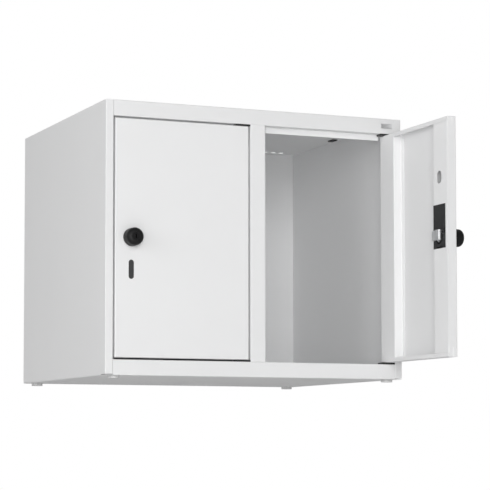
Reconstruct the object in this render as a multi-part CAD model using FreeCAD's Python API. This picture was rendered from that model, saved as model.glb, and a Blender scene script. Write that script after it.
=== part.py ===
import FreeCAD, Part
import math
import os

# Two-compartment steel locker cabinet, millimetres, +Z up.
# Origin: middle of the footprint, on the plane that the feet stand on.
# X runs to the right, Y into the cabinet, so the doors are at the low Y side.
# The left door is shut and the right door stands open at a right angle.

V = FreeCAD.Vector

# Cuts run on past the steel by OVER; edges are picked within NEAR
OVER = 1.0
NEAR = 0.1

# Overall size of the steel body, and the feet under it
WIDTH = 600.0
DEPTH = 500.0
HEIGHT = 500.0
FOOT_HEIGHT = 5.0

# Sheet and folds of the body
SHEET = 0.8
BEND = 0.7                # inside radius of a fold
SIDE_FLANGE = 15.0        # front face of each side panel
POST_WIDTH = 30.0
JAMB_ROOM = 5.0           # from a shut door's back to the back of the jamb's lip
JAMB_LIP = 10.0
TOP_RAIL = 29.0
BOTTOM_RAIL = 28.5
RAIL_HEM = 12.0
STOP_LIP = 11.0           # lip that the door closes against
LIP_RELIEF_LOCK = 8.5
LIP_RELIEF_HINGE = 24.0
SEAM = 12.0               # width of the flanges that are welded
BACK_INSET = 8.5
SIDE_LIFT = 2.0           # side panels end above the underside
NOTCH_GAP = 0.7

# Doors
DOOR_GAP = 3.5
DOOR_THICKNESS = 18.0
DOOR_BEND = 1.2
DOOR_LIP = 8.0
HINGE_BOX = 56.0          # hollow fold along the hinge side
LOCK_BOX = 53.0           # hollow channel along the lock side
FOOT_FLANGE = 8.0
EDGE_NOTCH_DEPTH = 10.0
EDGE_NOTCH_HEIGHT = 18.0
PIVOT_INSET = 8.0         # hinge axis to the door's hinge edge
RIGHT_DOOR_ANGLE = 90.0

# Hinges
PIN_RADIUS = 3.0
RUNNING_GAP = 0.05
PIN_HEAD_RADIUS = 5.0
PIN_HEAD = 2.0
PIN_PLATE = 3.0
PIN_PLATE_LENGTH = 24.0
PIN_SHORT = 0.5           # the pin ends this far inside its bush
PIN_CHAMFER = 0.6
BEARING_LENGTH = 28.0
BEARING_FRONT = 0.4
BEARING_PLAY = 0.4
BEARING_CORNER = 2.0
BUSH_RADIUS = 5.0
BUSH_LENGTH = 5.0
FIT_GAP = 0.2

# Lock, measured from its axis
LOCK_INSET = 31.0         # lock axis to the door's free edge
CASE_SIDE = 22.0
CASE_UP = 60.0
CASE_DOWN = 20.0
CASE_HIDDEN = 6.0         # the case runs on under the steel
CASE_PROUD = 0.5
CASE_FACE = 2.0
CASE_NOTCH_WIDTH = 20.0
CASE_NOTCH_HEIGHT = 3.0
CASE_CHAMFER = 0.4
TEETH = 17
MODULE = 1.2
PRESSURE_ANGLE = 20.0
DEDENDUM = 1.25 * MODULE
BACKLASH = 0.15
FLANK_STEPS = 4
PINION_START = 1.5
PINION_END = 7.0
POCKET_GAP = 0.9
KNOB_TURN = 90.0
RACK_LEAD = 4.2           # rack beyond the lock's axis at either end of the travel
RACK_BACK = 1.5           # rack above the bolt's upper edge
BOLT_NECK = 5.0
BOLT_UP = 13.0
BOLT_DOWN = 5.0
BOLT_TIP = 4.0            # point below the lower edge
BOLT_TIP_INSET = 2.0
BOLT_PLATE = 2.8
BOLT_GRIP = 4.0           # how far the nose reaches behind the jamb's lip
BOLT_CLEAR = 1.3
NOSE_GAP = 0.6
NOSE_THICKNESS = 2.8
NOSE_RUN = 11.0           # raised part behind the nose
NOSE_SLOPE = 4.0
NOSE_CHAMFER = 1.2
SLIDE_GAP = 0.3

# Knob
COLLAR_RADIUS = 15.0
COLLAR_THICKNESS = 2.5
COLLAR_NECK = 10.8
COLLAR_DEPTH = 3.0
SPINDLE_RADIUS = 6.0
KNOB_BASE_RADIUS = 16.6
KNOB_FACE_RADIUS = 16.2
KNOB_LENGTH = 24.2
KNOB_ROUND = 8.0
KNOB_STEP = 0.3
PLUG_RADIUS = 7.0
PLUG_LENGTH = 9.0
PLUG_SUNK = 0.8
KEYHOLE_WIDTH = 2.4
KEYHOLE_HEIGHT = 8.5
KEYHOLE_DEPTH = 6.0
DRIVE_SQUARE = 8.0
DRIVE_LENGTH = 4.0
END_SLOT_WIDTH = 2.0
END_SLOT_DEPTH = 0.8
SCREW_RADIUS = 2.0
SCREW_HEAD_RADIUS = 3.6
SCREW_HEAD = 1.6
SCREW_LENGTH = 12.0
SCREW_SLOT = 0.8

# Slot under the knob and hole above it
SLOT_WIDTH = 10.0
SLOT_HEIGHT = 35.0
SLOT_DROP = 58.0
INSERT_RIM = 2.5
INSERT_PROUD = 0.3
INSERT_BACK = 1.5
ACCESS_WIDTH = 16.5
ACCESS_HEIGHT = 23.5
ACCESS_RISE = 110.0

# Ceiling vents and the blanked slot beside them
VENT_RADIUS = 6.25
VENT_PITCH = 18.5
VENTS_EACH_SIDE = 6
VENT_SETBACK = 30.0       # row of vents to the back edge
PLUG_SLOT_LENGTH = 18.0
PLUG_SLOT_WIDTH = 7.0
PLUG_SLOT_SIDE = 15.0
PLUG_SLOT_Y = 18.0
BLANK_RIM = 2.0
BLANK_DROP = 2.5
BLANK_ROUND = 0.8

# Feet and badge
FOOT_RADIUS = 11.0
FOOT_SIDE = 23.0
FOOT_END = 20.0
FOOT_BORE = 3.25
FOOT_STEM = 5.0
FOOT_BARB = 5.8
BARB_TIP = 4.4
BARB_HEIGHT = 2.0
FOOT_ROUND = 0.8
BADGE_WIDTH = 24.0
BADGE_HEIGHT = 9.0
BADGE_THICKNESS = 0.8
BADGE_SIDE = 30.0

# Places worked out from the sizes above
JAMB_DEPTH = DOOR_THICKNESS + JAMB_ROOM
RAIL_FOLD = DOOR_THICKNESS + SHEET + BEND      # depth of the top and bottom rails
LEFT = -WIDTH / 2
FRONT = -DEPTH / 2
BACK = DEPTH / 2
BOTTOM = FOOT_HEIGHT
TOP = FOOT_HEIGHT + HEIGHT
INNER_X = WIDTH / 2 - SHEET
BACK_WALL = BACK - BACK_INSET
RAIL_TOP = BOTTOM + BOTTOM_RAIL
RAIL_UNDER = TOP - TOP_RAIL
OPENING_WIDTH = (WIDTH - 2 * SIDE_FLANGE - POST_WIDTH) / 2
OPENINGS = ((LEFT + SIDE_FLANGE, -POST_WIDTH / 2), (POST_WIDTH / 2, -LEFT - SIDE_FLANGE))

DOOR_WIDTH = OPENING_WIDTH - 2 * DOOR_GAP
DOOR_HEIGHT = RAIL_UNDER - RAIL_TOP - 2 * DOOR_GAP
DOOR_FRONT = -DOOR_THICKNESS / 2
DOOR_BACK = DOOR_THICKNESS / 2
HINGE_EDGE = PIVOT_INSET
FREE_EDGE = PIVOT_INSET - DOOR_WIDTH
PIVOT_Y = FRONT + DOOR_THICKNESS / 2
PIVOTS = [right - DOOR_GAP - PIVOT_INSET for left, right in OPENINGS]

LOCK_X = FREE_EDGE + LOCK_INSET
LOCK_Z = DOOR_HEIGHT / 2
PITCH_RADIUS = MODULE * TEETH / 2
BOLT_TRAVEL = PITCH_RADIUS * math.radians(KNOB_TURN)
RACK_START = -RACK_LEAD
RACK_END = BOLT_TRAVEL + RACK_LEAD
RACK_TOP = BOLT_UP + RACK_BACK
RACK_ROOT = PITCH_RADIUS + DEDENDUM
CASE_BACK = DOOR_BACK + CASE_PROUD
LIP_EDGE = LOCK_INSET + DOOR_GAP - JAMB_LIP
NOSE_TIP = LIP_EDGE + BOLT_GRIP - BOLT_TRAVEL
NOSE_ROOT = LIP_EDGE - BOLT_CLEAR - BOLT_TRAVEL
NOSE_START = JAMB_DEPTH - DOOR_THICKNESS / 2 + NOSE_GAP
COLLAR_FRONT = DOOR_FRONT - COLLAR_THICKNESS
KNOB_BACK = COLLAR_FRONT - KNOB_STEP
KNOB_FACE = KNOB_BACK - KNOB_LENGTH


def block(x0, y0, z0, x1, y1, z1):
    """Box between two opposite corners."""
    return Part.makeBox(x1 - x0, y1 - y0, z1 - z0, V(x0, y0, z0))


def rod(radius, start, end, centre, axis):
    """Cylinder from start to end along axis, through the point centre."""
    base = V(*centre) + axis * start
    return Part.makeCylinder(radius, end - start, base, axis)


def along_z(bottom):
    """Puts a plan outline (x, y) at height bottom."""
    return lambda p: V(p.x, p.y, bottom)


def along_x(start):
    """Puts a side outline (y, z) at the given x."""
    return lambda p: V(start, p.x, p.y)


def along_y(start):
    """Puts a front outline (x, z) at the given y."""
    return lambda p: V(p.x, start, p.y)


def surface_edges(points):
    """Straight runs joined by arcs: first point, start-middle-end of each bend, last point."""
    edges = []
    here = points[0]
    for i in range(1, len(points) - 1, 3):
        start, middle, end = points[i:i + 3]
        edges.append(Part.makeLine(here, start))
        edges.append(Part.Arc(start, middle, end).toShape())
        here = end
    edges.append(Part.makeLine(here, points[-1]))
    return edges


def folded_sheet(outline, place, run, bend=BEND):
    """Sheet bent along an outline, with its thickness on the left of travel."""
    points = [V(a, b, 0) for a, b in outline]
    ways = [(q - p).normalize() for p, q in zip(points, points[1:])]
    lefts = [V(-w.y, w.x, 0) for w in ways]
    near = [points[0]]
    far = [points[0] + lefts[0] * SHEET]
    for i in range(1, len(points) - 1):
        turn = 1 if ways[i - 1].cross(ways[i]).z > 0 else -1
        near_radius = bend + (SHEET if turn > 0 else 0)
        far_radius = bend + (0 if turn > 0 else SHEET)
        setback = near_radius * math.tan(ways[i - 1].getAngle(ways[i]) / 2)
        start = points[i] - ways[i - 1] * setback
        centre = start + lefts[i - 1] * (turn * near_radius)
        out = [lefts[i - 1] * -turn, (lefts[i - 1] + lefts[i]).normalize() * -turn, lefts[i] * -turn]
        near += [centre + d * near_radius for d in out]
        far += [centre + d * far_radius for d in out]
    near.append(points[-1])
    far.append(points[-1] + lefts[-1] * SHEET)
    near = [place(p) for p in near]
    far = [place(p) for p in far]
    edges = surface_edges(near) + [Part.makeLine(near[-1], far[-1])]
    edges += surface_edges(far[::-1]) + [Part.makeLine(far[0], near[0])]
    return Part.Face(Part.Wire(Part.__sortEdges__(edges))).extrude(run)


def rounded_slot(width, height, depth, centre):
    """Upright slot with round ends, cut along Y from its centre's y."""
    x, y, z = centre
    reach = (height - width) / 2
    slot = block(x - width / 2, y, z - reach, x + width / 2, y + depth, z + reach)
    for end in (-reach, reach):
        slot = slot.fuse(rod(width / 2, 0, depth, (x, y, z + end), V(0, 1, 0)))
    return slot.removeSplitter()


def one_solid(shape):
    """The single clean solid that a sub-part has to be."""
    shape = shape.removeSplitter()
    solids = shape.Solids
    if len(solids) != 1:
        raise ValueError("expected one solid, got %d" % len(solids))
    return solids[0]


# ---------------------------------------------------------------- body

def left_side_panel():
    """Outer skin with its back flange, front face, jamb and jamb lip in one sheet."""
    lip_y = FRONT + JAMB_DEPTH - SHEET
    edge = LEFT + SIDE_FLANGE
    outline = [(edge - FIT_GAP, BACK), (LEFT, BACK), (LEFT, FRONT), (edge, FRONT),
               (edge, lip_y), (edge + JAMB_LIP, lip_y)]
    foot = BOTTOM + SIDE_LIFT
    panel = folded_sheet(outline, along_z(foot), V(0, 0, TOP - foot))
    under_top = block(LEFT + SHEET, FRONT + SHEET, TOP - SHEET, 0, BACK - SHEET, TOP + OVER)
    over_foot = rod(FOOT_BARB + FIT_GAP, 0, FOOT_HEIGHT + SHEET + BARB_HEIGHT + 2 * FIT_GAP,
                    (LEFT + FOOT_SIDE, FRONT + FOOT_END, 0), V(0, 0, 1))
    return panel.cut([under_top, over_foot])


def skin_pan(level, rise):
    """Flat skin between the side panels, with an upstand along both sides."""
    pan_front = FRONT + JAMB_DEPTH + NOTCH_GAP
    pan_back = BACK_WALL - NOTCH_GAP
    ends = [(INNER_X, level - rise), (INNER_X, level), (-INNER_X, level), (-INNER_X, level - rise)]
    if rise < 0:
        ends.reverse()
    pan = folded_sheet(ends, along_y(pan_front), V(0, pan_back - pan_front, 0))
    low = min(level, level - math.copysign(SHEET, rise))
    for start, end in ((FRONT + SHEET, pan_front), (pan_back, BACK - SHEET)):
        pan = pan.fuse(block(-INNER_X, start, low, INNER_X, end, low + SHEET))
    return pan


def vent_row(centre):
    """Row of round vents along the width of one compartment."""
    vents = []
    for i in range(-VENTS_EACH_SIDE, VENTS_EACH_SIDE + 1):
        spot = (centre + i * VENT_PITCH, BACK - VENT_SETBACK, TOP)
        vents.append(rod(VENT_RADIUS, -2 * SHEET, SHEET, spot, V(0, 0, 1)))
    return vents


def bearing_hole(pivot, level):
    return rod(BUSH_RADIUS + FIT_GAP, -2 * SHEET, 2 * SHEET, (pivot, PIVOT_Y, level), V(0, 0, 1))


def top_panel():
    """Ceiling, top rail and door stop in one sheet."""
    rail_start = LEFT + SIDE_FLANGE
    lip_y = FRONT + RAIL_FOLD - SHEET
    outline = [(BACK, TOP - SEAM), (BACK, TOP), (FRONT, TOP), (FRONT, RAIL_UNDER),
               (lip_y, RAIL_UNDER), (lip_y, RAIL_UNDER - STOP_LIP)]
    panel = folded_sheet(outline, along_x(rail_start), V(-2 * rail_start, 0, 0))
    gaps = [rail_start]
    for left, right in OPENINGS:
        gaps += [left + LIP_RELIEF_LOCK, right - LIP_RELIEF_HINGE]
    gaps.append(-rail_start)
    for start, end in zip(gaps[::2], gaps[1::2]):
        panel = panel.cut(block(start, FRONT, RAIL_UNDER - STOP_LIP - OVER,
                                end, FRONT + JAMB_DEPTH, RAIL_UNDER))
    panel = panel.fuse(skin_pan(TOP, SEAM))
    cuts = [bearing_hole(pivot, RAIL_UNDER) for pivot in PIVOTS]
    for side in (-1, 1):
        cuts += vent_row(side * (INNER_X + SHEET / 2) / 2)
        x = side * (WIDTH / 2 - PLUG_SLOT_SIDE)
        cuts.append(block(x - PLUG_SLOT_WIDTH / 2, PLUG_SLOT_Y - PLUG_SLOT_LENGTH / 2, TOP - 2 * SHEET,
                          x + PLUG_SLOT_WIDTH / 2, PLUG_SLOT_Y + PLUG_SLOT_LENGTH / 2, TOP + SHEET))
    return panel.cut(cuts)


def foot_spots():
    """Name and centre of each foot."""
    x = WIDTH / 2 - FOOT_SIDE
    y = DEPTH / 2 - FOOT_END
    return {"foot_front_left": (-x, -y), "foot_front_right": (x, -y),
            "foot_back_left": (-x, y), "foot_back_right": (x, y)}


def floor_panel():
    """Floor and bottom rail in one sheet."""
    rail_start = LEFT + SIDE_FLANGE
    fold_y = FRONT + RAIL_FOLD
    outline = [(fold_y, RAIL_TOP - RAIL_HEM), (fold_y, RAIL_TOP), (FRONT, RAIL_TOP),
               (FRONT, BOTTOM), (BACK, BOTTOM), (BACK, BOTTOM + SEAM)]
    panel = folded_sheet(outline, along_x(rail_start), V(-2 * rail_start, 0, 0))
    panel = panel.fuse(skin_pan(BOTTOM, -SEAM))
    cuts = [bearing_hole(pivot, RAIL_TOP) for pivot in PIVOTS]
    for x, y in foot_spots().values():
        cuts.append(rod(FOOT_STEM + FIT_GAP, -SHEET, 2 * SHEET, (x, y, BOTTOM), V(0, 0, 1)))
    return panel.cut(cuts)


def back_panel():
    """Back wall, set forward, with a rim folded back all round."""
    rim_y = BACK - SHEET - BEND
    outline = [(-INNER_X, rim_y), (-INNER_X, BACK_WALL), (INNER_X, BACK_WALL), (INNER_X, rim_y)]
    low = BOTTOM + SHEET
    high = TOP - SHEET
    panel = folded_sheet(outline, along_z(low), V(0, 0, high - low))
    side = INNER_X - SHEET
    for rim in (low, high - SHEET):
        panel = panel.fuse(block(-side, BACK_WALL, rim, side, rim_y, rim + SHEET))
    return panel


def centre_post():
    """Hat-shaped front post between the two doors."""
    half = POST_WIDTH / 2
    lip_y = FRONT + JAMB_DEPTH - SHEET
    outline = [(-half - JAMB_LIP, lip_y), (-half, lip_y), (-half, FRONT), (half, FRONT),
               (half, lip_y), (half + JAMB_LIP, lip_y)]
    return folded_sheet(outline, along_z(RAIL_TOP), V(0, 0, RAIL_UNDER - RAIL_TOP))


def centre_partition():
    """Wall between the compartments, flanged to the post and the back wall."""
    face = SHEET / 2
    front_y = FRONT + 2 * SHEET
    back_y = BACK_WALL - SHEET
    outline = [(SEAM, front_y), (face, front_y), (face, back_y), (SEAM, back_y)]
    low = BOTTOM + SHEET
    wall = folded_sheet(outline, along_z(low), V(0, 0, TOP - SHEET - low))
    notch_back = FRONT + RAIL_FOLD + NOTCH_GAP
    over = block(-SEAM, FRONT, RAIL_UNDER, SEAM + OVER, notch_back, TOP)
    under = block(-SEAM, FRONT, BOTTOM, SEAM + OVER, notch_back, RAIL_TOP)
    return wall.cut([over, under])


def hinge_bearing(pivot, lower):
    """Plastic plate in the door gap, with a bush through the rail's fold."""
    jamb = pivot + PIVOT_INSET + DOOR_GAP
    level = RAIL_TOP if lower else RAIL_UNDER
    up = 1 if lower else -1
    plate_end = level + up * (DOOR_GAP - BEARING_PLAY)
    back_y = FRONT + DOOR_THICKNESS
    plate = block(jamb - BEARING_LENGTH, FRONT + BEARING_FRONT, min(level, plate_end),
                  jamb - FIT_GAP, back_y, max(level, plate_end))
    corners = [e for e in plate.Edges if e.BoundBox.XMax < pivot and e.BoundBox.YLength < NEAR]
    plate = plate.makeFillet(BEARING_CORNER, corners)
    centre = (pivot, PIVOT_Y, level)
    bush = rod(BUSH_RADIUS, -BUSH_LENGTH - SHEET, 0, centre, V(0, 0, up))
    bore = rod(PIN_RADIUS + RUNNING_GAP, -2 * BUSH_LENGTH, 2 * BUSH_LENGTH, centre, V(0, 0, up))
    return plate.fuse(bush).cut(bore)


def foot(x, y):
    """Round glide pushed into the floor, hollow for a stacking bolt."""
    disc = rod(FOOT_RADIUS, 0, FOOT_HEIGHT, (x, y, 0), V(0, 0, 1))
    rim = [e for e in disc.Edges if len(e.Vertexes) == 1 and e.CenterOfMass.z < FOOT_HEIGHT / 4]
    disc = disc.makeFillet(FOOT_ROUND, rim)
    top = FOOT_HEIGHT + SHEET + FIT_GAP
    stem = rod(FOOT_STEM, FOOT_HEIGHT - OVER, top, (x, y, 0), V(0, 0, 1))
    barb = Part.makeCone(FOOT_BARB, BARB_TIP, BARB_HEIGHT, V(x, y, top))
    bore = rod(FOOT_BORE, -OVER, top + BARB_HEIGHT + OVER, (x, y, 0), V(0, 0, 1))
    return disc.fuse([stem, barb]).cut(bore)


def ceiling_blank(side):
    """Plastic blank that closes the slot in the ceiling."""
    x = side * (WIDTH / 2 - PLUG_SLOT_SIDE)
    half_w = PLUG_SLOT_WIDTH / 2
    half_l = PLUG_SLOT_LENGTH / 2
    ceiling = TOP - SHEET
    stem = block(x - half_w + FIT_GAP, PLUG_SLOT_Y - half_l + FIT_GAP, ceiling - BLANK_DROP,
                 x + half_w - FIT_GAP, PLUG_SLOT_Y + half_l - FIT_GAP, TOP)
    rim = block(x - half_w - BLANK_RIM, PLUG_SLOT_Y - half_l - BLANK_RIM, ceiling - BLANK_DROP,
                x + half_w + BLANK_RIM, PLUG_SLOT_Y + half_l + BLANK_RIM, ceiling)
    rim = rim.makeFillet(BLANK_ROUND, [e for e in rim.Edges if e.BoundBox.ZMax < ceiling - BLANK_DROP / 2])
    return rim.fuse(stem)


def blank_badge():
    """Small plain plate at the right end of the top rail."""
    x = WIDTH / 2 - BADGE_SIDE
    z = TOP - TOP_RAIL / 2
    plate = block(x - BADGE_WIDTH / 2, FRONT - BADGE_THICKNESS, z - BADGE_HEIGHT / 2,
                  x + BADGE_WIDTH / 2, FRONT, z + BADGE_HEIGHT / 2)
    corners = [e for e in plate.Edges if e.BoundBox.YLength > BADGE_THICKNESS / 2]
    return plate.makeFillet(BADGE_HEIGHT / 3, corners)


# ---------------------------------------------------------------- door, at its pivot

def pan_block(inset):
    """Block of the folded door, drawn in by inset on every side, with its bend radii."""
    low_x = FREE_EDGE + inset
    high_y = DOOR_BACK - inset
    body = block(low_x, DOOR_FRONT + inset, inset, HINGE_EDGE - inset, high_y, DOOR_HEIGHT - inset)
    bends = []
    for e in body.Edges:
        box = e.BoundBox
        on_front = box.YMax < DOOR_FRONT + inset + NEAR
        on_back = box.YMin > high_y - NEAR
        free_side = box.XMax < low_x + NEAR
        if on_front or (on_back and not free_side):
            bends.append(e)
    return body.makeFillet(DOOR_BEND + SHEET - inset, bends)


def door_shell():
    """Front skin with its folded edges and the hollow fold along the hinges."""
    step_x = HINGE_EDGE - HINGE_BOX
    shell = pan_block(0).cut(pan_block(SHEET))
    window_end = step_x + DOOR_BEND + SHEET
    shell = shell.cut(block(FREE_EDGE + SHEET, DOOR_BACK - 2 * SHEET, DOOR_LIP,
                            window_end, DOOR_BACK + OVER, DOOR_HEIGHT - DOOR_LIP))
    outline = [(step_x + HINGE_BOX / 2, DOOR_BACK), (step_x, DOOR_BACK),
               (step_x, DOOR_FRONT + 2 * SHEET), (step_x - FOOT_FLANGE, DOOR_FRONT + 2 * SHEET)]
    fold = folded_sheet(outline, along_z(SHEET), V(0, 0, DOOR_HEIGHT - 2 * SHEET), DOOR_BEND)
    shell = shell.fuse(fold)
    cuts = [rod(PIN_RADIUS + FIT_GAP, -OVER, DOOR_HEIGHT + OVER, (0, 0, 0), V(0, 0, 1)),
            rod(COLLAR_NECK + FIT_GAP, DOOR_FRONT - OVER, DOOR_FRONT + SHEET + OVER,
                (LOCK_X, 0, LOCK_Z), V(0, 1, 0)),
            rounded_slot(SLOT_WIDTH, SLOT_HEIGHT, 3 * SHEET,
                         (LOCK_X, DOOR_FRONT - SHEET, LOCK_Z - SLOT_DROP))]
    for low in (-OVER, DOOR_HEIGHT - EDGE_NOTCH_HEIGHT):
        cuts.append(block(FREE_EDGE - OVER, DOOR_BACK - EDGE_NOTCH_DEPTH, low,
                          FREE_EDGE + SHEET, DOOR_BACK + OVER, low + EDGE_NOTCH_HEIGHT + OVER))
    return shell.cut(cuts)


def lock_stiffener(shell):
    """Channel that closes the lock side of the door, cut out for the lock case."""
    inner = FREE_EDGE + SHEET
    step_x = FREE_EDGE + LOCK_BOX
    foot_y = DOOR_FRONT + 2 * SHEET
    outline = [(step_x + FOOT_FLANGE, foot_y), (step_x, foot_y), (step_x, DOOR_BACK),
               (inner, DOOR_BACK), (inner, DOOR_FRONT + 3 * SHEET)]
    channel = folded_sheet(outline, along_z(SHEET), V(0, 0, DOOR_HEIGHT - 2 * SHEET), DOOR_BEND)
    lip = DOOR_LIP + FIT_GAP
    web_y = DOOR_BACK - SHEET
    cuts = [shell,
            block(inner - OVER, web_y, 0, step_x + OVER, DOOR_BACK + OVER, lip),
            block(inner - OVER, web_y, DOOR_HEIGHT - lip, step_x + OVER, DOOR_BACK + OVER, DOOR_HEIGHT),
            block(LOCK_X - CASE_SIDE - FIT_GAP, DOOR_FRONT, LOCK_Z - CASE_DOWN - FIT_GAP,
                  step_x + FOOT_FLANGE + OVER, DOOR_BACK + OVER, LOCK_Z + CASE_UP + FIT_GAP),
            rounded_slot(ACCESS_WIDTH, ACCESS_HEIGHT, 2 * SHEET + OVER,
                         (LOCK_X, web_y - SHEET, LOCK_Z + ACCESS_RISE))]
    return channel.cut(cuts)


def at_end(shape, lower):
    """A piece made for the door's lower end, turned over for the upper one."""
    if lower:
        return shape
    return shape.mirror(V(0, 0, DOOR_HEIGHT / 2), V(0, 0, 1))


def pin_plate(lower):
    """Steel plate inside the door's end wall that carries the hinge pin."""
    back_x = HINGE_EDGE - SHEET - DOOR_BEND
    side_y = DOOR_THICKNESS / 2 - SHEET - DOOR_BEND
    plate = block(back_x - PIN_PLATE_LENGTH, -side_y, SHEET, back_x, side_y, SHEET + PIN_PLATE)
    bore = rod(PIN_RADIUS + RUNNING_GAP, 0, SHEET + PIN_PLATE + OVER, (0, 0, 0), V(0, 0, 1))
    return at_end(plate.cut(bore), lower)


def hinge_pin(lower):
    """Headed steel pin, fixed in the door and turning in the bearing's bush."""
    head = SHEET + PIN_PLATE
    reach = DOOR_GAP + SHEET + BUSH_LENGTH - PIN_SHORT
    pin = rod(PIN_RADIUS, -reach, head, (0, 0, 0), V(0, 0, 1))
    tip = [e for e in pin.Edges if len(e.Vertexes) == 1 and e.CenterOfMass.z < 0]
    pin = pin.makeChamfer(PIN_CHAMFER, tip)
    pin = pin.fuse(rod(PIN_HEAD_RADIUS, head, head + PIN_HEAD, (0, 0, 0), V(0, 0, 1)))
    return at_end(pin, lower)


def slot_insert():
    """Plastic insert that fills the slot under the knob."""
    z = LOCK_Z - SLOT_DROP
    body = rounded_slot(SLOT_WIDTH - FIT_GAP, SLOT_HEIGHT - FIT_GAP, INSERT_PROUD + SHEET + INSERT_BACK,
                        (LOCK_X, DOOR_FRONT - INSERT_PROUD, z))
    rim = rounded_slot(SLOT_WIDTH + 2 * INSERT_RIM, SLOT_HEIGHT + 2 * INSERT_RIM, INSERT_BACK,
                       (LOCK_X, DOOR_FRONT + SHEET, z))
    return body.fuse(rim)


# ---------------------------------------------------------------- lock

def lock_disc(radius, start, end):
    """Cylinder on the lock's axis between two depths."""
    return rod(radius, start, end, (LOCK_X, 0, LOCK_Z), V(0, 1, 0))


def lock_block(x0, y0, z0, x1, y1, z1):
    """Box measured from the lock's axis in X and Z."""
    return block(LOCK_X + x0, y0, LOCK_Z + z0, LOCK_X + x1, y1, LOCK_Z + z1)


def flank_points(tooth_half_angle):
    """One involute flank of the pinion, as radius and angle from the tooth's middle."""
    pressure = math.radians(PRESSURE_ANGLE)
    base = PITCH_RADIUS * math.cos(pressure)
    pitch_inv = math.tan(pressure) - pressure
    root = PITCH_RADIUS - DEDENDUM
    tip = PITCH_RADIUS + MODULE
    points = [(root, tooth_half_angle + pitch_inv)]
    for i in range(FLANK_STEPS + 1):
        r = base + (tip - base) * i / FLANK_STEPS
        slope = math.acos(base / r)
        points.append((r, tooth_half_angle + pitch_inv - (math.tan(slope) - slope)))
    return points


def pinion():
    """Toothed wheel on the knob's spindle, with a tooth pointing straight up."""
    half = (math.pi * MODULE / 2 - BACKLASH) / (2 * PITCH_RADIUS)
    flank = flank_points(half)
    outline = []
    for i in range(TEETH):
        middle = math.radians(90) - 2 * math.pi * i / TEETH
        outline += [(r, middle + a) for r, a in flank]
        outline += [(r, middle - a) for r, a in reversed(flank)]
    corners = [V(LOCK_X + r * math.cos(a), PINION_START, LOCK_Z + r * math.sin(a)) for r, a in outline]
    face = Part.Face(Part.makePolygon(corners + corners[:1]))
    return face.extrude(V(0, PINION_END - PINION_START, 0))


def rack_teeth(start, end):
    """Straight teeth on the underside of the bolt, with a gap at the lock's axis."""
    pitch = math.pi * MODULE
    slope = math.tan(math.radians(PRESSURE_ANGLE))
    half = pitch / 4 - BACKLASH / 2
    tip = PITCH_RADIUS - MODULE
    root = RACK_ROOT + NEAR
    teeth = []
    count = int((end - start) / pitch)
    for i in range(-count, count + 1):
        middle = (i + 0.5) * pitch
        if middle - pitch / 2 < start or middle + pitch / 2 > end:
            continue
        tip_half = half - (PITCH_RADIUS - tip) * slope
        root_half = half + (RACK_ROOT - PITCH_RADIUS) * slope
        outline = [(middle - tip_half, tip), (middle + tip_half, tip),
                   (middle + root_half, root), (middle - root_half, root)]
        corners = [V(LOCK_X + x, PINION_START, LOCK_Z + z) for x, z in outline]
        face = Part.Face(Part.makePolygon(corners + corners[:1]))
        teeth.append(face.extrude(V(0, PINION_END - PINION_START, 0)))
    return teeth


def latch_bolt():
    """Zinc bolt: rack inside the case, plate over its face, nose that hooks the jamb."""
    face_y = CASE_BACK + SLIDE_GAP
    neck_y = CASE_BACK - CASE_FACE - SLIDE_GAP
    plate_y = face_y + BOLT_PLATE
    nose_y = NOSE_START + NOSE_THICKNESS
    rack = lock_block(RACK_START, PINION_START, RACK_ROOT, RACK_END, neck_y, RACK_TOP)
    neck = lock_block(RACK_START, neck_y, BOLT_UP - BOLT_NECK, RACK_END, face_y, BOLT_UP)
    shoulder = NOSE_RUN - NOSE_ROOT
    outline = [(-NOSE_ROOT, face_y), (CASE_SIDE, face_y), (CASE_SIDE, plate_y),
               (shoulder + NOSE_SLOPE, plate_y), (shoulder, nose_y),
               (NOSE_CHAMFER - NOSE_TIP, nose_y), (-NOSE_TIP, nose_y - NOSE_CHAMFER),
               (-NOSE_TIP, NOSE_START), (-NOSE_ROOT, NOSE_START)]
    corners = [V(LOCK_X + x, y, LOCK_Z - BOLT_DOWN) for x, y in outline]
    hook = Part.Face(Part.makePolygon(corners + corners[:1])).extrude(V(0, 0, BOLT_UP + BOLT_DOWN))
    tip_end = shoulder - BOLT_TIP_INSET
    outline = [(-NOSE_ROOT, OVER), (tip_end, OVER), (tip_end, 0), (0, -BOLT_TIP), (-NOSE_ROOT, 0)]
    corners = [V(LOCK_X + x, face_y, LOCK_Z - BOLT_DOWN + z) for x, z in outline]
    tip = Part.Face(Part.makePolygon(corners + corners[:1])).extrude(V(0, BOLT_PLATE, 0))
    return rack.fuse([neck, hook, tip] + rack_teeth(RACK_START, RACK_END))


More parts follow.
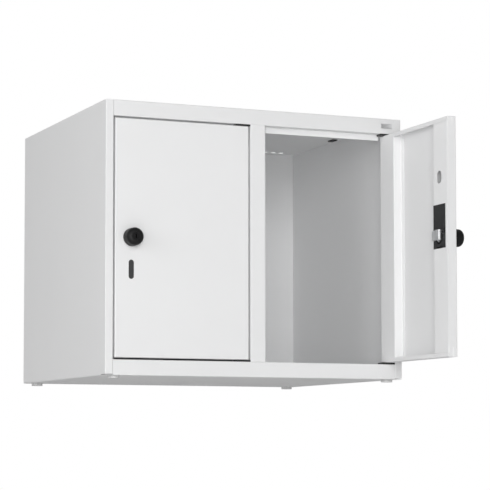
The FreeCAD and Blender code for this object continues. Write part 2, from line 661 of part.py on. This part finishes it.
def lock_case():
    """Plastic case that holds the pinion and guides the bolt."""
    inside = DOOR_FRONT + SHEET
    web = DOOR_BACK - SHEET - FIT_GAP
    hidden = lock_block(-CASE_SIDE - CASE_HIDDEN, inside, -CASE_DOWN, CASE_SIDE, web, CASE_UP)
    shown = lock_block(-CASE_SIDE, inside, -CASE_DOWN, CASE_SIDE, CASE_BACK, CASE_UP)
    rim = [e for e in shown.Edges if e.BoundBox.YMin > CASE_BACK - NEAR]
    case = hidden.fuse(shown.makeChamfer(CASE_CHAMFER, rim))
    pocket = PITCH_RADIUS + MODULE + POCKET_GAP
    travel_start = RACK_START - BOLT_TRAVEL - SLIDE_GAP
    travel_end = RACK_END + SLIDE_GAP
    tooth_z = PITCH_RADIUS - MODULE - SLIDE_GAP
    neck_y = CASE_BACK - CASE_FACE
    cuts = [lock_disc(pocket, PINION_START - SLIDE_GAP, CASE_BACK + OVER),
            lock_disc(COLLAR_NECK + FIT_GAP, inside - OVER, inside + COLLAR_DEPTH),
            lock_disc(SPINDLE_RADIUS + FIT_GAP, inside - OVER, PINION_END),
            lock_block(travel_start, PINION_START - SLIDE_GAP, tooth_z,
                       travel_end, neck_y, RACK_TOP + SLIDE_GAP),
            lock_block(travel_start, neck_y - OVER, BOLT_UP - BOLT_NECK - SLIDE_GAP,
                       travel_end, CASE_BACK + OVER, BOLT_UP + SLIDE_GAP),
            lock_block(-CASE_NOTCH_WIDTH / 2, inside - OVER, -CASE_DOWN - OVER,
                       CASE_NOTCH_WIDTH / 2, CASE_BACK + OVER, -CASE_DOWN + CASE_NOTCH_HEIGHT)]
    return case.cut(cuts)


def lock_collar():
    """Black collar between the knob and the door, the spindle's bearing."""
    flange = lock_disc(COLLAR_RADIUS, COLLAR_FRONT, DOOR_FRONT)
    neck = lock_disc(COLLAR_NECK, DOOR_FRONT, DOOR_FRONT + SHEET + COLLAR_DEPTH - FIT_GAP)
    bore = lock_disc(SPINDLE_RADIUS + RUNNING_GAP, COLLAR_FRONT - OVER, DOOR_BACK)
    return flange.fuse(neck).cut(bore)


def spindle():
    """Shaft with the pinion at its inner end and a square drive at its outer end."""
    shaft = lock_disc(SPINDLE_RADIUS, KNOB_BACK, PINION_START + OVER)
    half = DRIVE_SQUARE / 2
    drive = lock_block(-half, KNOB_BACK - DRIVE_LENGTH, -half, half, KNOB_BACK + OVER, half)
    hub = lock_disc(SPINDLE_RADIUS, PINION_END - OVER, PINION_END + SLIDE_GAP)
    slot = lock_block(-END_SLOT_WIDTH / 2, PINION_END - END_SLOT_DEPTH, -SPINDLE_RADIUS,
                      END_SLOT_WIDTH / 2, PINION_END + OVER, SPINDLE_RADIUS)
    thread = lock_disc(SCREW_RADIUS + RUNNING_GAP, KNOB_BACK - DRIVE_LENGTH - OVER,
                       KNOB_BACK - DRIVE_LENGTH + SCREW_LENGTH)
    return shaft.fuse([drive, pinion(), hub]).cut([slot, thread])


def knob():
    """Round grip with a well rounded face edge, bored for the key plug."""
    profile = [V(0, KNOB_BACK, 0), V(KNOB_BASE_RADIUS, KNOB_BACK, 0),
               V(KNOB_FACE_RADIUS, KNOB_FACE, 0), V(0, KNOB_FACE, 0)]
    grip = Part.Face(Part.makePolygon(profile + profile[:1])).revolve(V(0, 0, 0), V(0, 1, 0), 360)
    face_edge = [e for e in grip.Edges if e.BoundBox.YMax < KNOB_FACE + NEAR and e.BoundBox.XLength > 1]
    grip = grip.makeFillet(KNOB_ROUND, face_edge)
    grip.translate(V(LOCK_X, 0, LOCK_Z))
    half = DRIVE_SQUARE / 2 + RUNNING_GAP
    cuts = [lock_disc(PLUG_RADIUS, KNOB_FACE - OVER, KNOB_FACE + PLUG_SUNK + PLUG_LENGTH),
            lock_disc(SCREW_HEAD_RADIUS + FIT_GAP, KNOB_FACE - OVER,
                      KNOB_BACK - DRIVE_LENGTH - FIT_GAP),
            lock_block(-half, KNOB_BACK - DRIVE_LENGTH - FIT_GAP, -half, half, KNOB_BACK + OVER, half)]
    return grip.cut(cuts)


def knob_screw():
    """Screw under the key plug that holds the knob on its spindle."""
    head_y = KNOB_BACK - DRIVE_LENGTH
    head = lock_disc(SCREW_HEAD_RADIUS, head_y - SCREW_HEAD, head_y)
    shank = lock_disc(SCREW_RADIUS, head_y, head_y + SCREW_LENGTH - OVER)
    drive = lock_block(-SCREW_HEAD_RADIUS, head_y - SCREW_HEAD - OVER, -SCREW_SLOT / 2,
                       SCREW_HEAD_RADIUS, head_y - SCREW_HEAD / 2, SCREW_SLOT / 2)
    return head.fuse(shank).cut(drive)


def key_plug():
    """Cylinder plug that the key turns."""
    front = KNOB_FACE + PLUG_SUNK
    body = lock_disc(PLUG_RADIUS - RUNNING_GAP, front, front + PLUG_LENGTH - FIT_GAP)
    keyhole = lock_block(-KEYHOLE_WIDTH / 2, front - OVER, -KEYHOLE_HEIGHT / 2,
                         KEYHOLE_WIDTH / 2, front + KEYHOLE_DEPTH, KEYHOLE_HEIGHT / 2)
    return body.cut(keyhole)


# ---------------------------------------------------------------- assembly

def body_parts():
    """Every piece that stays still."""
    side = left_side_panel()
    parts = {
        "left_side_panel": side,
        "right_side_panel": side.mirror(V(0, 0, 0), V(1, 0, 0)),
        "back_panel": back_panel(),
        "top_panel": top_panel(),
        "floor_panel": floor_panel(),
        "centre_partition": centre_partition(),
        "centre_post": centre_post(),
        "blank_badge": blank_badge(),
        "left_ceiling_blank": ceiling_blank(-1),
        "right_ceiling_blank": ceiling_blank(1),
    }
    for name, (x, y) in foot_spots().items():
        parts[name] = foot(x, y)
    for hand, pivot in zip(("left", "right"), PIVOTS):
        for end in ("upper", "lower"):
            parts["%s_hinge_bearing_%s" % (hand, end)] = hinge_bearing(pivot, end == "lower")
    return parts


def door_parts():
    """Every piece that swings with one door, made at the pivot with the door shut."""
    shell = one_solid(door_shell())
    parts = {
        "door_shell": shell,
        "lock_stiffener": lock_stiffener(shell),
        "slot_insert": slot_insert(),
        "lock_case": lock_case(),
        "lock_collar": lock_collar(),
        "spindle": spindle(),
        "knob": knob(),
        "knob_screw": knob_screw(),
        "key_plug": key_plug(),
        "latch_bolt": latch_bolt(),
    }
    for end in ("upper", "lower"):
        parts["pin_plate_" + end] = pin_plate(end == "lower")
        parts["hinge_pin_" + end] = hinge_pin(end == "lower")
    return parts


def hang(shape, pivot, angle):
    """Puts a piece of the door on its hinge axis, opened by angle."""
    placed = shape.copy()
    placed.rotate(V(0, 0, 0), V(0, 0, 1), angle)
    placed.translate(V(pivot, PIVOT_Y, RAIL_TOP + DOOR_GAP))
    return placed


def main():
    os.makedirs("parts", exist_ok=True)
    parts = body_parts()
    hung = door_parts()
    for hand, pivot, angle in zip(("left", "right"), PIVOTS, (0, RIGHT_DOOR_ANGLE)):
        for name, shape in hung.items():
            parts["%s_%s" % (hand, name)] = hang(shape, pivot, angle)
    for name, shape in parts.items():
        solid = one_solid(shape)
        solid.exportStep("parts/%s.step" % name)
        print("%-28s %10.1f mm3" % (name, solid.Volume))
    print("bolt travel %.3f mm, door %.1f x %.1f mm" % (BOLT_TRAVEL, DOOR_WIDTH, DOOR_HEIGHT))


main()
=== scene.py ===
# %% [markdown]
# # A two-compartment steel locker cabinet
#
# The cabinet is folded from thin steel sheet and powder coated. Its shape, its joints and its
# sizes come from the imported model, which is loaded first and never changed. This file gives each
# piece its finish, makes the small turned and moulded pieces again with softer edges, and sets up
# the light and the camera. Lengths are in metres, +Z is up and the front faces -Y.

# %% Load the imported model
import math

import bmesh
import bpy
from mathutils import Matrix, Vector


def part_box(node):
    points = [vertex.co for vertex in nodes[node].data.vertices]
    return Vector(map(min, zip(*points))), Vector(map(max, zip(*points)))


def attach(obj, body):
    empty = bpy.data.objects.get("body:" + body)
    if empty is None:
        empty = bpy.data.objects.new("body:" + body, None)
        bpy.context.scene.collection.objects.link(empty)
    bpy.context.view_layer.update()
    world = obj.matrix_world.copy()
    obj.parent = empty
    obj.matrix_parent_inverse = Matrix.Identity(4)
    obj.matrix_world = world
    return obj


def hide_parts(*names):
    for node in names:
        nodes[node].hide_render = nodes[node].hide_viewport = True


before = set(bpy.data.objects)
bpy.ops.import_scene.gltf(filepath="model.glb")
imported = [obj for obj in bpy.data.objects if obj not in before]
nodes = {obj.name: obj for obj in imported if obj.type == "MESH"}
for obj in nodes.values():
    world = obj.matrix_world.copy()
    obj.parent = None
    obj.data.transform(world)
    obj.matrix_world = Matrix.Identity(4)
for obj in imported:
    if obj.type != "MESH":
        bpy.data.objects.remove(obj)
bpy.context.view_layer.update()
MM = 0.001

# %% [markdown]
# ## The camera
#
# A cabinet like this is usually shown from a little to the left of the left door and from low
# down, so that the underside shows as a thin strip. A long lens keeps the upright edges nearly
# parallel. The camera is aimed a few degrees up, and a small sideways and upward shift of the
# lens does the rest, because aiming alone would make the upright edges lean.

# %% Camera
CAMERA_PLACE = Vector((-1.4649, -3.5794, -0.1306))
CAMERA_YAW = math.radians(22.65)
CAMERA_PITCH = math.radians(3.99)
CAMERA_LENS = 144.4
CAMERA_SENSOR = 36.0
CAMERA_SHIFT = (0.05, 0.14)

camera_data = bpy.data.cameras.new("camera")
camera_data.lens = CAMERA_LENS
camera_data.sensor_width = CAMERA_SENSOR
camera_data.shift_x, camera_data.shift_y = CAMERA_SHIFT
camera = bpy.data.objects.new("camera", camera_data)
camera.location = CAMERA_PLACE
camera.rotation_euler = (math.pi / 2 + CAMERA_PITCH, 0.0, -CAMERA_YAW)
bpy.context.scene.collection.objects.link(camera)
bpy.context.scene.camera = camera
print("camera %.0f mm from the front" % (1000 * (abs(CAMERA_PLACE.y) - 0.25)))

# %% [markdown]
# ## Sums on shader sockets
#
# A finish varies over its surface: a powder coat is slightly uneven, a moulded face has a grain.
# Those patterns are noise textures added and multiplied together. `Amount` wraps one output
# socket, so that `0.4 + 0.1 * noise` builds the Math nodes by itself, and `Finish.add` makes any
# other node: its settings go first, because some settings change which sockets a node has.

# %% A socket that can be used in sums
class Amount:
    """An output socket of a material, usable in sums with numbers and other amounts."""

    def __init__(self, finish, socket):
        self.finish = finish
        self.socket = socket

    def combine(self, operation, first, second):
        return self.finish.add("ShaderNodeMath", {"operation": operation}, {0: first, 1: second})

    def __add__(self, other):
        return self.combine("ADD", self, other)

    def __mul__(self, other):
        return self.combine("MULTIPLY", self, other)

    __radd__ = __add__
    __rmul__ = __mul__


# %% A material and the one way to add nodes to it
class Finish:
    """A material with its Principled shader, whose patterns are in Object coordinates."""

    def __init__(self, name, base, roughness, metallic=0.0, constants=None):
        self.material = bpy.data.materials.new(name)
        self.material.use_nodes = True
        self.tree = self.material.node_tree
        self.shader = self.tree.nodes["Principled BSDF"]
        self.shader.inputs["Base Color"].default_value = (*base, 1.0)
        self.shader.inputs["Roughness"].default_value = roughness
        self.shader.inputs["Metallic"].default_value = metallic
        for socket, value in (constants or {}).items():
            self.shader.inputs[socket].default_value = value
        self.place = self.add("ShaderNodeTexCoord", {}, {}, "Object")

    def add(self, kind, settings, inputs, output=0):
        """Adds a node: settings first, then the values or links of its sockets."""
        node = self.tree.nodes.new(kind)
        for setting, value in settings.items():
            setattr(node, setting, value)
        for socket, value in inputs.items():
            if isinstance(value, Amount):
                self.tree.links.new(value.socket, node.inputs[socket])
            else:
                node.inputs[socket].default_value = value
        return Amount(self, node.outputs[output])

    def noise(self, scale, detail=2.0, stretch=(1.0, 1.0, 1.0)):
        """Noise with patches 1 / scale metres across, about 0 to 1."""
        where = self.add("ShaderNodeMapping", {}, {"Vector": self.place, "Scale": stretch})
        return self.add("ShaderNodeTexNoise", {}, {"Vector": where, "Scale": scale, "Detail": detail})

    def colour(self, dark, light, amount):
        """Base colour that goes from dark to light with an amount."""
        mix = self.add("ShaderNodeMix", {"data_type": "RGBA"},
                       {0: amount, 6: (*dark, 1.0), 7: (*light, 1.0)}, 2)
        self.tree.links.new(mix.socket, self.shader.inputs["Base Color"])

    def roughness(self, amount):
        self.tree.links.new(amount.socket, self.shader.inputs["Roughness"])

    def relief(self, height, distance, strength=1.0):
        bump = self.add("ShaderNodeBump", {}, {"Height": height, "Distance": distance,
                                               "Strength": strength})
        self.tree.links.new(bump.socket, self.shader.inputs["Normal"])


# %% [markdown]
# ## Powder coat
#
# Powder paint is sprayed on dry and melted in an oven. It flows out into a satin skin with a
# fine orange peel, bumps about a millimetre wide and a few hundredths deep. A much finer grain
# on top breaks the highlight up, and a very slow change of tone comes from the sheet never being
# quite flat. The doors get their own copy of the coat, a shade lighter. That is painted light, for
# the brighter light that falls on the doors.

# %% Powder coat
PEEL_SCALE = 900.0
GRAIN_SCALE = 4200.0
CLOUD_SCALE = 5.0
PEEL_DEPTH = 0.06 * MM
PEEL_STRENGTH = 0.35


def powder_coat(name, tone):
    """A light powder coat, uneven by a few parts in a hundred."""
    dark = [0.975 * t for t in tone]
    light = [min(1.0, 1.02 * t) for t in tone]
    coat = Finish(name, tone, 0.62)
    peel = coat.noise(PEEL_SCALE, 2.0)
    grain = coat.noise(GRAIN_SCALE, 1.0)
    cloud = coat.noise(CLOUD_SCALE, 3.0)
    coat.colour(dark, light, 0.7 * cloud + 0.3 * peel)
    coat.roughness(0.56 + 0.08 * cloud + 0.06 * peel)
    coat.relief(0.75 * peel + 0.25 * grain, PEEL_DEPTH, PEEL_STRENGTH)
    return coat.material


BODY_TONE = (0.800, 0.802, 0.805)
# The doors' copy of the coat is a shade lighter than the body's: painted light for the brighter light
# on the doors.
DOOR_TONE_WITH_PAINTED_LIGHT = (0.812, 0.814, 0.817)
body_coat = powder_coat("powder_coat_body", BODY_TONE)
door_coat = powder_coat("powder_coat_door", DOOR_TONE_WITH_PAINTED_LIGHT)
print("powder coats:", body_coat.name, door_coat.name)

# %% [markdown]
# ## Moulded plastic
#
# The lock case, the knob, the bearings and the feet are injection moulded. A tool is spark
# eroded to a fine even grain, so the plastic is semi-matt, and handled pieces such as the knob
# are polished a little by use. Voronoi cells give the pitted look of the eroded tool, and soft
# noise makes the gloss uneven.

# %% Moulded plastic
def moulded(name, tone, roughness, grain_scale, grain_depth, constants=None):
    """A moulded plastic with a pitted grain and uneven gloss."""
    plastic = Finish(name, tone, roughness, constants=constants)
    pits = plastic.add("ShaderNodeTexVoronoi", {"feature": "F1"},
                       {"Vector": plastic.place, "Scale": grain_scale})
    flow = plastic.noise(60.0, 3.0)
    plastic.colour([0.85 * t for t in tone], [1.12 * t for t in tone], 0.6 * flow + 0.4 * pits)
    plastic.roughness((roughness - 0.06) + 0.12 * flow)
    plastic.relief(pits, grain_depth, 0.5)
    return plastic.material


case_plastic = moulded("lock_case_plastic", (0.016, 0.016, 0.017), 0.55, 1400.0, 0.00005)
knob_plastic = moulded("knob_plastic", (0.006, 0.006, 0.0065), 0.50, 1800.0, 0.00002,
                       {"Specular IOR Level": 0.28})
plug_plastic = moulded("key_plug_plastic", (0.005, 0.005, 0.0055), 0.40, 1800.0, 0.00002,
                       {"Specular IOR Level": 0.28})
bearing_plastic = moulded("bearing_plastic", (0.020, 0.020, 0.021), 0.50, 1400.0, 0.00004)
insert_plastic = moulded("slot_insert_plastic", (0.034, 0.034, 0.035), 0.55, 1400.0, 0.00004)
foot_plastic = moulded("foot_plastic", (0.66, 0.66, 0.66), 0.50, 1200.0, 0.00004)
print("plastics made")

# %% [markdown]
# ## Bare metal
#
# The bolt is cast in zinc and tumbled, so its shine is soft and a little cloudy. The pins, their
# plates and the screw are plated steel with fine drawing lines along one direction. Lines come
# from noise that is squeezed across the grain and stretched along it.

# %% Metals
def metal(name, tone, roughness, line_scale, stretch):
    """A bare metal with drawing lines across the way the noise is stretched."""
    plate = Finish(name, tone, roughness, metallic=1.0)
    lines = plate.noise(line_scale, 3.0, stretch)
    cloud = plate.noise(90.0, 3.0)
    plate.colour([0.86 * t for t in tone], [min(1.0, 1.08 * t) for t in tone], cloud)
    plate.roughness((roughness - 0.08) + 0.10 * lines + 0.08 * cloud)
    plate.relief(lines, 0.00003, 0.4)
    return plate.material


zinc = metal("tumbled_zinc", (0.90, 0.91, 0.92), 0.42, 700.0, (1.0, 1.0, 0.6))
plated_steel = metal("plated_steel", (0.56, 0.57, 0.58), 0.34, 900.0, (1.0, 1.0, 0.08))
badge_metal = metal("badge_plate", (0.82, 0.825, 0.83), 0.50, 1500.0, (0.05, 1.0, 1.0))
print("metals made")

# %% [markdown]
# ## Which piece has which finish
#
# A piece's name says what it is, so the last words of its name pick its finish.

# %% Put the finishes on
FINISHES = {
    "door_shell": door_coat, "lock_stiffener": door_coat,
    "panel": body_coat, "partition": body_coat, "post": body_coat,
    "lock_case": case_plastic, "lock_collar": case_plastic, "spindle": bearing_plastic,
    "knob": knob_plastic, "key_plug": plug_plastic,
    "bearing_upper": bearing_plastic, "bearing_lower": bearing_plastic,
    "ceiling_blank": bearing_plastic, "slot_insert": insert_plastic,
    "latch_bolt": zinc, "knob_screw": plated_steel,
    "pin_upper": plated_steel, "pin_lower": plated_steel,
    "plate_upper": plated_steel, "plate_lower": plated_steel,
    "blank_badge": badge_metal,
    "foot_front_left": foot_plastic, "foot_front_right": foot_plastic,
    "foot_back_left": foot_plastic, "foot_back_right": foot_plastic,
}


def finish_piece(piece, material):
    """Gives a piece one material in all its slots."""
    piece.data.materials.clear()
    piece.data.materials.append(material)


unfinished = []
for name, node in nodes.items():
    matching = [ending for ending in FINISHES if name.endswith(ending)]
    if matching:
        finish_piece(node, FINISHES[max(matching, key=len)])
    else:
        unfinished.append(name)
print("finished", len(nodes) - len(unfinished), "pieces, left:", unfinished)

# %% [markdown]
# ## Turned pieces
#
# Feet, knobs and key plugs are round. The feet and knobs are each an outline, given as pairs of
# radius and height, spun once round the Z axis and then laid along the axis it turns about. Spin
# leaves a seam where the last step meets the first, so it is told to merge it, and the normals
# are worked out again afterwards because spin can leave them pointing inwards.

# %% Spin an outline
def keep_mesh(shape, name, material, crease=35.0):
    """Makes a bmesh an object of its own, smooth except at its creases."""
    bmesh.ops.remove_doubles(shape, verts=shape.verts, dist=1e-7)
    bmesh.ops.recalc_face_normals(shape, faces=shape.faces)
    mesh = bpy.data.meshes.new(name)
    shape.to_mesh(mesh)
    shape.free()
    mesh.shade_smooth()
    mesh.set_sharp_from_angle(angle=math.radians(crease))
    piece = bpy.data.objects.new(name, mesh)
    bpy.context.scene.collection.objects.link(piece)
    finish_piece(piece, material)
    print(name, "has", len(mesh.polygons), "faces")
    return piece


def spun(outline, steps):
    """A bmesh spun round Z from a closed outline of (radius, height) in metres."""
    shape = bmesh.new()
    corners = [shape.verts.new((radius, 0.0, height)) for radius, height in outline]
    edges = [shape.edges.new(pair) for pair in zip(corners, corners[1:] + corners[:1])]
    bmesh.ops.spin(shape, geom=corners + edges, cent=(0, 0, 0), axis=(0, 0, 1),
                   angle=2 * math.pi, steps=steps, use_merge=True)
    return shape


def lay_along(shape, place, axis):
    """Turns a bmesh from Z to an axis and moves it to its place."""
    turn = Vector(axis).to_track_quat("Z", "Y").to_matrix().to_4x4()
    bmesh.ops.transform(shape, matrix=Matrix.Translation(place) @ turn, verts=shape.verts)


def rounded(radius, height, round_by, steps=6):
    """Points of a quarter round at an outer top corner, from the side to the top."""
    points = []
    for step in range(steps + 1):
        angle = math.pi / 2 * step / steps
        points.append((radius - round_by * (1 - math.cos(angle)),
                       height - round_by * (1 - math.sin(angle))))
    return points


# %% [markdown]
# ## Feet
#
# Each foot is a light plastic button pushed into the floor panel. Its sole is flat with a
# rounded rim, a groove runs round it where a fingernail or blade gets a hold, and a bore goes up
# through the middle for a stacking bolt.

# %% Feet
FOOT_BORE = 3.25 * MM
FOOT_STEM = 5.0 * MM
SOLE_ROUND = 0.9 * MM
GROOVE_DEPTH = 0.5 * MM
SEAT_GAP = 0.05 * MM
floor_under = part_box("floor_panel")[0].z

for corner in ("front_left", "front_right", "back_left", "back_right"):
    low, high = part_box("foot_" + corner)
    radius = (high.x - low.x) / 2
    sole_top = floor_under - low.z - SEAT_GAP
    stem_top = high.z - low.z
    mouth = 0.4 * MM
    outline = [(FOOT_BORE, mouth), (FOOT_BORE + mouth, 0.0)]
    outline += [(r, SOLE_ROUND - (h - sole_top + SOLE_ROUND))
                for r, h in reversed(rounded(radius, sole_top, SOLE_ROUND, 4))]
    outline += [(radius, 0.45 * sole_top), (radius - GROOVE_DEPTH, 0.52 * sole_top),
                (radius - GROOVE_DEPTH, 0.62 * sole_top), (radius, 0.69 * sole_top)]
    outline += rounded(radius, sole_top, mouth, 3)
    outline += [(FOOT_STEM, sole_top), (FOOT_STEM, stem_top - mouth),
                (FOOT_STEM - mouth, stem_top), (FOOT_BORE, stem_top)]
    foot = spun(outline, 48)
    lay_along(foot, Vector(((low.x + high.x) / 2, (low.y + high.y) / 2, low.z)), (0, 0, 1))
    button = keep_mesh(foot, "foot_button_" + corner, foot_plastic)
    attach(button, "carcass")
    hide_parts("foot_" + corner)

# %% [markdown]
# ## Knobs
#
# The knob is a plain black grip with a face that rounds over into its side, so that a hand finds
# no edge. The face has a bore for the key plug with a small bevel round it, which catches the
# light as a thin ring. The real one is moulded round a square drive. Only the outside and the
# bore are made here, and the drive stays on the spindle.

# %% Knobs
KNOB_AXES = {"left": Vector((0, -1, 0)), "right": Vector((1, 0, 0))}
FACE_ROUND = 8.0 * MM
PLUG_BORE = 7.0 * MM
BORE_DEPTH = 9.8 * MM
DRIVE_RADIUS = 6.2 * MM
KNOB_DRAFT = 0.4 * MM
MOUTH_BEVEL = 0.35 * MM


def knob_frame(hand):
    """The middle of the knob's back, its radius and its length, from the model."""
    low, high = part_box(hand + "_knob")
    axis = KNOB_AXES[hand]
    middle = (low + high) / 2
    length = abs((high - low).dot(axis))
    return middle - axis * length / 2, (high.z - low.z) / 2, length


for hand, axis in KNOB_AXES.items():
    back, radius, length = knob_frame(hand)
    outline = [(DRIVE_RADIUS, length - BORE_DEPTH), (DRIVE_RADIUS, 0.0)]
    outline += [(radius - MOUTH_BEVEL, 0.0), (radius, MOUTH_BEVEL)]
    outline += rounded(radius - KNOB_DRAFT, length, FACE_ROUND, 12)
    outline += [(PLUG_BORE + MOUTH_BEVEL, length), (PLUG_BORE, length - MOUTH_BEVEL),
                (PLUG_BORE, length - BORE_DEPTH)]
    grip = spun(outline, 96)
    lay_along(grip, back, axis)
    piece = keep_mesh(grip, hand + "_knob_grip", knob_plastic)
    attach(piece, hand + "_knob_set")
    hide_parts(hand + "_knob")

# %% [markdown]
# ## Badge plate
#
# A small thin plate is fixed at the upper left of the top rail. It carries no mark here. It is
# a box with rounded corners, and its face is set in by a hair inside a narrow frame. The corners
# are bevelled first, and the face is inset afterwards, so that the frame follows the corners.

# %% Badge plate
CORNER_ROUND = 1.2 * MM
FRAME_WIDTH = 0.7 * MM
FIELD_DEPTH = 0.25 * MM

low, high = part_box("blank_badge")
plate = bmesh.new()
bmesh.ops.create_cube(plate, size=1.0)
bmesh.ops.scale(plate, vec=high - low, verts=plate.verts)
bmesh.ops.translate(plate, vec=(low + high) / 2, verts=plate.verts)
through = [e for e in plate.edges if abs((e.verts[0].co - e.verts[1].co).y) > 0.1 * MM]
bmesh.ops.bevel(plate, geom=through, offset=CORNER_ROUND, segments=5, profile=0.5,
                affect="EDGES", material=-1)
plate.normal_update()
face = [f for f in plate.faces if f.normal.y < -0.9]
bmesh.ops.inset_region(plate, faces=face, thickness=FRAME_WIDTH, depth=0.0)
bmesh.ops.translate(plate, vec=(0, FIELD_DEPTH, 0), verts=list({v for f in face for v in f.verts}))
badge = keep_mesh(plate, "badge_plate_blank", badge_metal, 20.0)
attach(badge, "carcass")
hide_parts("blank_badge")

# %% [markdown]
# ## Floor and light
#
# The cabinet stands on other cabinets, and is seen from below its own floor panel, so the pale
# studio floor lies well under it. A faint glow that only the camera sees keeps it pale. The
# surroundings are white to the camera. To the cabinet they are a dimmer grey, so that surfaces
# still shade, brighter behind it than in front, where the lamps are. Three soft lamps stand in
# front and to the left: one above the cabinet's height, whose light falls into the open
# compartment, one beside the cabinet for its long side, and one low down for the underside and
# the inner corners. White sheet throws light on many times, so the light is followed for many
# bounces.

# %% Floor
FLOOR_DROP = 0.9
FLOOR_SIZE = 40.0
FLOOR_GLOW = 0.42          # lifts the paper's tone for the camera only

ground = bmesh.new()
bmesh.ops.create_grid(ground, x_segments=1, y_segments=1, size=FLOOR_SIZE / 2)
bmesh.ops.translate(ground, vec=(0, 0, -FLOOR_DROP), verts=ground.verts)
paper = Finish("studio_floor", (0.80, 0.80, 0.80), 0.8)
paper.colour((0.79, 0.79, 0.79), (0.82, 0.82, 0.82), paper.noise(1.5, 2.0))
seen_by_camera = paper.add("ShaderNodeLightPath", {}, {}, "Is Camera Ray")
glow = paper.add("ShaderNodeEmission", {}, {"Color": (1.0, 1.0, 1.0, 1.0), "Strength": FLOOR_GLOW})
plain = Amount(paper, paper.shader.outputs[0])
lifted = paper.add("ShaderNodeAddShader", {}, {0: plain, 1: glow})
either = paper.add("ShaderNodeMixShader", {}, {0: seen_by_camera, 1: plain, 2: lifted})
paper.tree.links.new(either.socket, paper.tree.nodes["Material Output"].inputs["Surface"])
floor = keep_mesh(ground, "studio_floor", paper.material)

# %% Surroundings and bounces
MOST_BOUNCES, DIFFUSE_BOUNCES = 16, 12
AMBIENT_FRONT = 0.25
AMBIENT_BEHIND = 0.62
FADE_START, FADE_END = -0.1, 0.5      # how far round to the back the grey brightens
world = bpy.data.worlds.new("studio")
bpy.context.scene.world = world
world.use_nodes = True
tree = world.node_tree
tree.nodes.clear()
rays = tree.nodes.new("ShaderNodeLightPath")
seen = tree.nodes.new("ShaderNodeBackground")
seen.inputs["Color"].default_value = (1.0, 1.0, 1.0, 1.0)
lit = tree.nodes.new("ShaderNodeBackground")
lit.inputs["Color"].default_value = (1.0, 1.0, 1.0, 1.0)
direction = tree.nodes.new("ShaderNodeTexCoord")
split = tree.nodes.new("ShaderNodeSeparateXYZ")
fade = tree.nodes.new("ShaderNodeMapRange")
fade.interpolation_type = "SMOOTHSTEP"
fade.inputs["From Min"].default_value = FADE_START
fade.inputs["From Max"].default_value = FADE_END
fade.inputs["To Min"].default_value = AMBIENT_FRONT
fade.inputs["To Max"].default_value = AMBIENT_BEHIND
tree.links.new(direction.outputs["Generated"], split.inputs[0])
tree.links.new(split.outputs["Y"], fade.inputs["Value"])
tree.links.new(fade.outputs[0], lit.inputs["Strength"])
choose = tree.nodes.new("ShaderNodeMixShader")
out = tree.nodes.new("ShaderNodeOutputWorld")
tree.links.new(rays.outputs["Is Camera Ray"], choose.inputs[0])
tree.links.new(lit.outputs[0], choose.inputs[1])
tree.links.new(seen.outputs[0], choose.inputs[2])
tree.links.new(choose.outputs[0], out.inputs[0])
bpy.context.scene.view_settings.view_transform = "Standard"
bpy.context.scene.cycles.max_bounces = MOST_BOUNCES
bpy.context.scene.cycles.diffuse_bounces = DIFFUSE_BOUNCES


# %% Lamps
LAMP_AIM = Vector((0.0, -0.2, 0.25))


def soft_light(name, place, size, power):
    """A wide square lamp aimed at the middle of the cabinet."""
    data = bpy.data.lights.new(name, "AREA")
    data.size = size
    data.energy = power
    lamp = bpy.data.objects.new(name, data)
    lamp.location = place
    aim = LAMP_AIM - Vector(place)
    lamp.rotation_euler = aim.to_track_quat("-Z", "Y").to_euler()
    bpy.context.scene.collection.objects.link(lamp)


soft_light("front_light", (-1.0, -4.0, 1.1), 1.2, 38.0)
soft_light("side_light", (-3.6, -1.7, 0.9), 2.0, 34.0)
soft_light("low_light", (-1.6, -3.7, 0.0), 1.4, 43.0)
print("lamps made")
